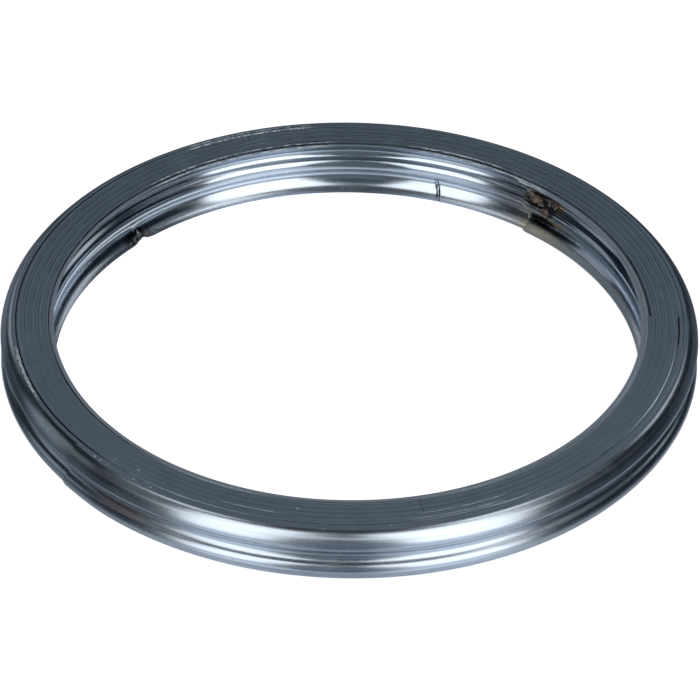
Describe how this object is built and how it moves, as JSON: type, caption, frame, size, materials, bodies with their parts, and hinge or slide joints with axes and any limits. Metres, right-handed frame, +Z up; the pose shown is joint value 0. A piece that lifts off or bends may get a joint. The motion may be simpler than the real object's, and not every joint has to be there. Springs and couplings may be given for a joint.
{
  "type": "spiral wound gasket",
  "caption": "Ring gasket wound from one profiled stainless strip with a soft graphite filler strip between its turns, flat sealing faces, open centre.",
  "frame": {"origin": "centre of the ring's bounding box at the lower sealing face", "axes": "+Z up through the ring's central hole, the ring lying flat; +Y away from the viewer in the default view, +X to the right. The inner end of the strip is about 51 degrees from +X towards +Y, the outer end about 222 degrees."},
  "size_m": [0.0798, 0.0802, 0.007],
  "materials": {
    "strip_steel": "cold rolled, bright",
    "graphite": "soft graphite with a dull sheen",
    "weld_metal": "resistance weld metal, straw heat tint"
  },
  "bodies": {
    "root": {"winding_strip": "strip_steel", "filler_strip": "graphite", "inner_weld_1": "weld_metal", "inner_weld_2": "weld_metal", "outer_weld_1": "weld_metal", "outer_weld_2": "weld_metal"}
  },
  "joints": []
}
